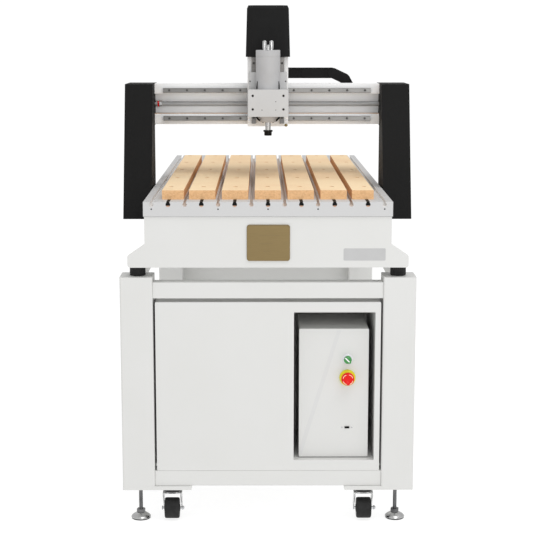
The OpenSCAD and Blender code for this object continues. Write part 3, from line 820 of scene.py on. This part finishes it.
def spindle():
    """The spindle's housing, its screws, and the unconnected fittings on its cap."""
    lo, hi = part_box("spindle_body")
    axis = Vector(((lo.x + hi.x) / 2, (lo.y + hi.y) / 2, TOP))
    place = facing(axis, "z")
    bm = bmesh.new()
    add_lathe(bm, [(9.2, 212), (20, 212), (26, 212.3), (26.6, 213.4), (28.2, 218), (31, 226),
                   (33, 231), (33, 232), (39.2, 232), (40, 232.8), (40, 236.6), (39.6, 237),
                   (39.6, 237.7), (40, 238.1), (40, 424.6), (39.5, 425.1), (39.5, 425.9), (40, 426.4),
                   (40, 444.6), (39.4, 446.2), (37.8, 447), (24, 447), (0, 446.9)], place, 128)
    shell = finish_piece("spindle_housing", bm, SPINDLE, "z_carriage", sharp=28)
    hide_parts("spindle_body")
    four = degrees(45, 90, 4)
    cap_screws = [axis + Vector((x * MM, y * MM, 446.2 * MM)) for x, y in on_circle(31, four)]
    socket_heads("spindle_cap_screws", cap_screws, "z", 7, 3.2, 3.4, OXIDE, "z_carriage")
    nose_screws = [axis + Vector((x * MM, y * MM, 212.4 * MM)) for x, y in on_circle(23, four)]
    socket_heads("spindle_nose_screws", nose_screws, "-z", 5, 1.4, 2.5, OXIDE, "z_carriage")
    bm = bmesh.new()
    for x in (-11, 11):
        spot = facing(at(x, 432, 0) + Vector((HEAD_X, 0, 0)), "z")
        add_lathe(bm, [(0, 447), (7, 447), (7, 451), (6.1, 451.6), (6.1, 454), (7, 454.6), (7, 473),
                       (6.6, 475), (5.6, 476.6), (4, 477.7), (2, 478), (0, 478)], spot, 40)
    spot = facing(at(0, 417, 0) + Vector((HEAD_X, 0, 0)), "z")
    add_lathe(bm, [(0, 447), (5.8, 447), (5.8, 451), (5.2, 451.5), (5.2, 453), (5.8, 453.5),
                   (5.8, 462.5), (5.2, 463.6), (4, 464), (3.4, 464), (3.2, 460), (0, 460)], spot, 40)
    parts = finish_piece("spindle_connectors", bm, CHROME, "z_carriage", sharp=40)
    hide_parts("spindle_fittings")


def collet():
    """The notched collet nut and the jaws in its mouth."""
    notch_deep, notch_every, notch_wide = 1.3, 10, 3   # the last two are counted in steps
    lo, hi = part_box("spindle_shaft")
    axis = Vector(((lo.x + hi.x) / 2, (lo.y + hi.y) / 2, TOP))
    place = facing(axis, "z")
    bm = bmesh.new()
    steps = 60
    rings = []
    profile = ((6.2, 168.2, False), (11.4, 168.0, False), (12.5, 169.0, True), (12.5, 179.6, True),
               (13.2, 180.6, False), (15.5, 181.0, False), (15.5, 185.2, False), (14.6, 186.0, False),
               (9.1, 186.0, False))
    for radius, height, notched in profile:
        points = []
        for i, turn in enumerate(full_circle(steps)):
            cut = notch_deep if notched and i % notch_every < notch_wide else 0.0
            points += on_circle(radius - cut, [turn])
        rings.append(add_ring(bm, place, points, height))
    bridge(bm, rings + rings[:1])
    nut = finish_piece("collet_nut_body", bm, OXIDE, "spindle_rotor", sharp=30)
    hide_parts("collet_nut")
    # six slit jaws of the spring collet, just inside the nut's mouth
    bm = bmesh.new()
    for start in full_circle(6):
        turns = [start + 0.08 + i * 0.22 for i in range(5)]
        jaw = on_circle(6.0, turns) + on_circle(3.1, turns[::-1])
        add_prism(bm, jaw, place @ Matrix.Translation(Vector((0, 0, 168.9 * MM))), 3.0)
    finish_piece("collet_jaws", bm, PLATED, "spindle_rotor", bevel=0.0002)


spindle()
collet()


# ---- head details ------------------------------------------------------------

def head_screws():
    """Dark screws sunk in the clamp, the carriage plate and the base plate."""
    def head(x, y, z):
        return at(x, y, z) + Vector((HEAD_X, 0, 0))
    clamp = [head(x, 408, z) for x in (-50, 50) for z in (256, 300)]
    socket_heads("clamp_screws", clamp, "-y", 7.0, 4.5, 3.6, OXIDE, "z_carriage")
    plate = [head(x, 498, 344) for x in (-59, 59)]
    socket_heads("carriage_screws", plate, "-y", 4.6, 0.8, 2.4, OXIDE, "z_carriage")
    dots = [head(x, 402.1, z) for x, z in ((-20, 254), (25, 254), (25, 281))]
    bm = bmesh.new()
    for p in dots:
        add_lathe(bm, [(0, 0), (1.5, 0), (1.5, 0.3), (0.9, 0.35), (0, 0.1)], facing(p, "-y"), 20)
    finish_piece("clamp_grub_screws", bm, OXIDE, "z_carriage")
    back = [head(x, 537, z) for x in (-62, 62) for z in (214, 460)]
    socket_heads("base_plate_screws", back, "-y", 5.6, 0.9, 3.0, PLATED, "x_carriage")


def clamp_painted_shadows():
    """Black strips between the clamp and the spindle, whose ends show above and below: painted shadow
    in the gaps there.
    """
    front = at(0, 431, 0).y
    flat = Matrix(((1, 0, 0, HEAD_X), (0, 0, 1, front), (0, 1, 0, TOP), (0, 0, 0, 1)))
    upper = [(38.5, 320.2), (38.0, 333), (36.0, 346), (32.4, 346), (33.4, 333), (34.4, 320.2)]
    lower = [(40, 231.8), (40, 227), (34, 221), (29.5, 216), (25, 216), (26.5, 221), (31.5, 227),
             (32.5, 231.8)]
    bm = bmesh.new()
    for side in (-1, 1):
        for outline in (upper, lower):
            add_prism(bm, [(side * x, z) for x, z in outline], flat, 4)
    finish_piece("clamp_painted_shadows", bm, BLACK_AND_SHADOW, "z_carriage", bevel=0.0003)


def beam_reflection_lips():
    """Slanting lips along the beam's edges; their colour is a painted reflection of the wood below.
    """
    lo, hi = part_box("gantry_beam")
    place = Matrix(((0, 0, 1, lo.x), (1, 0, 0, FRONT), (0, 1, 0, TOP), (0, 0, 0, 1)))
    front = 579.8
    bm = bmesh.new()
    for z in (300, 198, 233):
        lip = [(front, z + 3.2), (front + 2.4, z + 0.1), (front + 2.6, z + 3.2)]
        add_prism(bm, lip, place, (hi.x - lo.x) / MM)
    finish_piece("beam_reflection_lips", bm, LIP, "gantry")


def grease_nipple():
    """The brass nipple under the head's base plate."""
    lo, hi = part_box("grease_fitting")
    centre = Vector(((lo.x + hi.x) / 2, hi.y, (lo.z + hi.z) / 2))
    place = facing(centre, "-y")
    bm = bmesh.new()
    add_prism(bm, hexagon(9.5, 0.1), place, 5)
    add_lathe(bm, [(0, 5), (3.4, 5), (3.4, 6.4), (2.3, 6.9), (2.3, 7.6), (3.0, 8.2), (2.4, 9),
                   (0, 9)], place, 32)
    nipple = finish_piece("grease_nipple", bm, BRASS, "x_carriage", bevel=0.0004)
    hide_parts("grease_fitting")


head_screws()
clamp_painted_shadows()
beam_reflection_lips()
grease_nipple()


# ---- energy chain ------------------------------------------------------------

PITCH = 46.0                                       # of the links
LINK_HALF = 0.018                                  # half a link's height
RUN_LO, RUN_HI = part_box("chain_run")
LOOP_LO, LOOP_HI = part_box("chain_bend")
CHAIN_Y = (RUN_LO.y + RUN_HI.y) / 2
UPPER = (RUN_LO.z + RUN_HI.z) / 2
LOWER = LOOP_LO.z + LINK_HALF


def add_link(bm, start, tilt, odd):
    """One link: two side plates with rounded ends, and two crossbars. tilt is in degrees down.

    Every other link's plates stand further out, so that neighbours overlap.
    """
    thick = 3.6                                        # of a side plate
    half_bar, half_wide = 13, 24.6                     # of a crossbar
    place = Matrix.Translation(Vector((start[0], CHAIN_Y, start[1]))) @ Matrix.Rotation(
        math.radians(tilt), 4, "Y")
    plate = []
    for middle, way in ((PITCH, 1), (0.0, -1)):
        for k in range(7):
            turn = way * (math.pi / 2 - math.pi * k / 6)
            plate.append((middle + way * 17.6 * math.cos(turn), 17.9 * math.sin(turn)))
    inner = 20.9 if odd else 18.1
    flat = Matrix(((1, 0, 0, 0), (0, 0, 1, 0), (0, 1, 0, 0), (0, 0, 0, 1)))
    for y in (-inner - thick, inner):
        add_prism(bm, plate, place @ Matrix.Translation(Vector((0, y * MM, 0))) @ flat, thick)
    for z in (-1, 1):
        bar = [(PITCH / 2 - half_bar, z * 17.4), (PITCH / 2 + half_bar, z * 17.4),
               (PITCH / 2 + half_bar, z * 14.2), (PITCH / 2 - half_bar, z * 14.2)]
        add_prism(bm, bar, place @ Matrix.Translation(Vector((0, -half_wide * MM, 0))) @ flat,
                  2 * half_wide)


def chain_run():
    """The upper run, which stretches between the head and the loop."""
    joint = RUN_HI.x
    bm = bmesh.new()
    count = int((joint - RUN_LO.x) / (PITCH * MM))
    for k in range(count):
        add_link(bm, (joint - (k + 1) * PITCH * MM, UPPER), 0, k % 2)
    run = finish_piece("chain_upper_links", bm, CHAIN, None, bevel=0.0006)
    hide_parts("chain_run")
    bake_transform(run)


def chain_loop():
    """The half turn at the end, and the lower run in its tray."""
    bm = bmesh.new()
    x, z = RUN_HI.x, UPPER
    for k in range(5):
        tilt = 25 + 36 * k
        add_link(bm, (x, z), tilt, k % 2 == 0)
        x += PITCH * MM * math.cos(math.radians(tilt))
        z -= PITCH * MM * math.sin(math.radians(tilt))
    k = 0
    while x - PITCH * MM > LOOP_LO.x:
        add_link(bm, (x, LOWER), 180, k % 2 == 0)
        x -= PITCH * MM
        k += 1
    loop = finish_piece("chain_loop_links", bm, CHAIN, "chain_loop", bevel=0.0006)
    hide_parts("chain_bend")


chain_run()
chain_loop()


# ---- table and base details --------------------------------------------------

def slot_bars():
    """Black nut bars under the slats, in every second slot: a neck on a half round.

    A thin cap closes each bar's front end, and brownish pieces under the bars carry a painted
    reflection of the wood.
    """
    step = 100                                         # from bar to bar
    inset = 0.8                                        # of the bars from the table's ends
    slats_y = (65.6, 1374.4)                           # the slats hide the bars between these
    middle = (0, -8)                                   # the slots' half round
    bar_r, cap_r = 6.2, 7.1
    slots = [step * k for k in range(-3, 4)]
    flat = Matrix(((1, 0, 0, 0), (0, 0, -1, 0), (0, 1, 0, 0), (0, 0, 0, 1)))

    def in_slot(bm, outline, x, back, long):
        add_prism(bm, outline, Matrix.Translation(at(x, back, 0)) @ flat, long)
    keyhole = [(3.8, -2.9), (3.8, -0.25), (-3.8, -0.25), (-3.8, -2.9)]
    keyhole += on_circle(bar_r, degrees(143, 7, 9) + degrees(-19, 7, 9), middle)
    cap = [(4.6, -3.6), (4.6, -0.25), (-4.6, -0.25), (-4.6, -3.6)]
    cap += on_circle(cap_r, degrees(130, 9.4, 9) + degrees(-25, 9.4, 9), middle)
    bm = bmesh.new()
    for x in slots:
        in_slot(bm, keyhole, x, TABLE_LONG - inset, TABLE_LONG - 2 * inset)
        in_slot(bm, cap, x, -0.02, 0.3)
        for y0, y1 in ((inset, slats_y[0]), (slats_y[1], TABLE_LONG - 1)):
            add_block(bm, at(x - 4.9, y0, -0.2), at(x + 4.9, y1, 0.35))
    finish_piece("slot_nut_bars", bm, BLACK_AND_SHADOW, "stand_and_base", sharp=40)
    # brownish half rounds low in each slot: a painted reflection of the wood
    bm = bmesh.new()
    for x in slots:
        in_slot(bm, on_circle(bar_r, degrees(200, 14, 11), middle), x, TABLE_LONG - 1.4,
                TABLE_LONG - 2.8)
        in_slot(bm, on_circle(cap_r, degrees(206, 12.8, 11), middle), x, -0.02, 0.28)
    finish_piece("slot_wood_reflection", bm, SLOT_WOOD_REFLECTION, "stand_and_base", sharp=40)


def table_end_sockets():
    """Dark hexagons in the screws along the table's front end: painted shade in their sockets."""
    bm = bmesh.new()
    for x in (-350, -150, 0, 150, 350):
        add_prism(bm, hexagon(4.2), facing(at(x, 0.38, -21.6), "-y"), 0.2)
    finish_piece("table_end_sockets", bm, BLACK_AND_SHADOW, "stand_and_base")


def draw_plate_lines_and_painted_rim():
    """Generic decorative lines on the brass plate: a border, wide along the top as a painted dark
    reflection, three short strokes, four rivets.
    """
    line_high = 0.12
    lo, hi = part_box("nameplate")
    centre = Vector(((lo.x + hi.x) / 2, lo.y, (lo.z + hi.z) / 2))
    place = facing(centre, "-y")
    bm = bmesh.new()
    wide, tall = (hi.x - lo.x) / MM, (hi.z - lo.z) / MM
    outer = rounded(wide - 0.6, tall - 0.6, 7.7)
    # the inner edge sits lower, so the border is wide along the top: a painted dark reflection in the
    # plate's upper chamfer
    inner = [(x, y - 1.3) for x, y in rounded(wide - 1.8, tall - 3.4, 7)]
    bridge(bm, [add_ring(bm, place, line, line_high) for line in (outer, inner)])
    for y, long, shift in ((23, 58, 2), (-2, 38, -6), (-25, 22, -4)):
        add_prism(bm, [(px + shift, py + y) for px, py in rounded(long, 0.8, 0.39, 3)],
                  place, 0.16)
    finish_piece("plate_lines_and_painted_rim", bm, ENGRAVING_AND_REFLECTION, "stand_and_base")
    corners = [centre + Vector((sx * (wide / 2 - 6.5) * MM, 0, sz * (tall / 2 - 6.5) * MM))
               for sx in (-1, 1) for sz in (-1, 1)]
    bm = bmesh.new()
    for p in corners:
        add_lathe(bm, [(0, 0), (1.6, 0), (1.5, 0.25), (0.8, 0.42), (0, 0.46)], facing(p, "-y"), 20)
    finish_piece("plate_rivets", bm, BRASS, "stand_and_base")


def base_label():
    """A plain grey label, without any mark."""
    centre = at(291.5, 4, -160)
    bm = bmesh.new()
    add_prism(bm, rounded(127, 37, 3.5), facing(centre, "-y"), 0.35)
    finish_piece("base_label", bm, LABEL, "stand_and_base", bevel=0.00015, segments=1)


def table_edge_shadow_line():
    """A dark strip at the line between the table and the base: a painted shadow there."""
    bm = bmesh.new()
    add_block(bm, at(-371.8, 3.4, -44.9), at(371.8, 4.2, -44.1))
    finish_piece("table_seam_shadow", bm, RUBBER, "stand_and_base")


slot_bars()
table_end_sockets()
draw_plate_lines_and_painted_rim()
base_label()
table_edge_shadow_line()


# ---- control box details -----------------------------------------------------

def box_stripe():
    """A faint matt stripe, a little darker than the paint, that runs slantwise over the control box's
    front.
    """
    lo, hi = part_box("control_box")
    wide = (hi.x - lo.x) / MM
    tall = (hi.z - lo.z) / MM
    place = facing(lo, "-y")
    bm = bmesh.new()
    stripe = [(0.8, tall * 0.07), (0.8, tall * 0.02), (8, tall * 0.02), (wide * 0.60, tall - 5),
              (wide * 0.54, tall - 5)]
    add_prism(bm, stripe, place, 0.12)
    finish_piece("box_stripe", bm, STRIPE, "stand_and_base")


box_stripe()


# ---- finishes of the CAD nodes -----------------------------------------------

def dress(material, width, *nodes, segments=2, angle=30.0):
    """Gives CAD nodes their finish and rounds their sharp edges."""
    for name in nodes:
        obj = NODES[name]
        obj.data.materials.clear()
        obj.data.materials.append(material)
        for poly in obj.data.polygons:
            poly.material_index = 0
        if width:
            soften(obj, width, segments, angle)


dress(WHITE, 0.0015, "stand_legs", "stand_rails", "foot_mount_plates")
dress(WHITE, 0.0008, "front_panel", "rear_panel", "control_bay")
dress(WHITE, 0.0030, "control_box", segments=4)
dress(WHITE, 0.0012, "base_shell", "base_beams")
dress(BLACK_PLASTIC, 0.0006, "caster_heads")
dress(RUBBER, 0.001, "rubber_feet")
dress(TABLE, 0.0004, "table_plate")
dress(MDF, 0, "spoilboard_slats")
dress(PLATED, 0.0003, "table_fasteners")
dress(BRASS, 0.0010, "nameplate")
dress(RAIL_Y, 0.0003, "y_rails", "y_screw_left", "y_screw_right")
dress(MOTOR, 0.001, "y_motors", "x_motor", "z_motor")
dress(BLACK, 0.0045, "cheek_left", "cheek_right", segments=3)
dress(BEAM, 0.0007, "gantry_beam")
dress(RAIL_X, 0.0003, "x_rails")
dress(PLATE, 0.0008, "y_trucks")
dress(BACK_PLATE, 0.0008, "z_base_plate")
dress(BLACK, 0.0006, "chain_tray")
dress(BLOCK, 0.0005, "x_blocks")
dress(RAIL_Z, 0.0003, "z_rails")
dress(HOOD, 0.0025, "z_hood", segments=3, angle=25)
dress(PLATE, 0.0008, "z_carriage_plate", "spindle_clamp")
dress(SHAFT, 0.0004, "spindle_shaft")


# ---- floor and light ---------------------------------------------------------

SEEN_WHITE = 1.02                                  # the background's strength in the picture
LIT_WHITE = 0.74                                   # its strength as a light
FLOOR_GLOW = 0.82


def add_floor():
    """A wide floor that is nearly as white as the background, just under the feet."""
    bm = bmesh.new()
    bmesh.ops.create_grid(bm, x_segments=1, y_segments=1, size=20)
    mesh = bpy.data.meshes.new("floor")
    bm.to_mesh(mesh)
    bm.free()
    mat = bpy.data.materials.new("floor_white")
    mat.use_nodes = True
    bsdf = mat.node_tree.nodes["Principled BSDF"]
    bsdf.inputs["Base Color"].default_value = (0.3, 0.3, 0.3, 1)
    bsdf.inputs["Roughness"].default_value = 0.9
    bsdf.inputs["Specular IOR Level"].default_value = 0.0
    bsdf.inputs["Emission Color"].default_value = (1, 1, 1, 1)
    bsdf.inputs["Emission Strength"].default_value = FLOOR_GLOW
    mesh.materials.append(mat)
    floor = bpy.data.objects.new("floor", mesh)
    floor.location.z = -0.0005
    bpy.context.scene.collection.objects.link(floor)


def add_light(name, place, size, power, aim=(0, -0.4, 0.9)):
    """A round area light that looks at aim."""
    data = bpy.data.lights.new(name, "AREA")
    data.shape = "DISK"
    data.size = size
    data.energy = power
    light = bpy.data.objects.new(name, data)
    light.location = place
    light.rotation_euler = (Vector(aim) - Vector(place)).to_track_quat("-Z", "Y").to_euler()
    bpy.context.scene.collection.objects.link(light)


def add_world():
    """A white background, with its own strength for camera rays."""
    world = bpy.data.worlds.new("studio")
    bpy.context.scene.world = world
    world.use_nodes = True
    tree = world.node_tree
    tree.nodes.clear()
    out = tree.nodes.new("ShaderNodeOutputWorld")
    seen = tree.nodes.new("ShaderNodeBackground")
    seen.inputs["Color"].default_value = (1, 1, 1, 1)
    seen.inputs["Strength"].default_value = SEEN_WHITE
    lit = tree.nodes.new("ShaderNodeBackground")
    lit.inputs["Color"].default_value = (1, 1, 1, 1)
    lit.inputs["Strength"].default_value = LIT_WHITE
    ray = tree.nodes.new("ShaderNodeLightPath")
    mix = tree.nodes.new("ShaderNodeMixShader")
    tree.links.new(ray.outputs["Is Camera Ray"], mix.inputs[0])
    tree.links.new(lit.outputs[0], mix.inputs[1])
    tree.links.new(seen.outputs[0], mix.inputs[2])
    tree.links.new(mix.outputs[0], out.inputs[0])


add_floor()
add_world()
add_light("key", (1.3, -2.3, 5.6), size=3.6, power=96)
add_light("front", (0.9, -5.6, 1.9), size=2.4, power=38)
bpy.context.scene.view_settings.view_transform = "Standard"
bpy.context.scene.view_settings.look = "None"
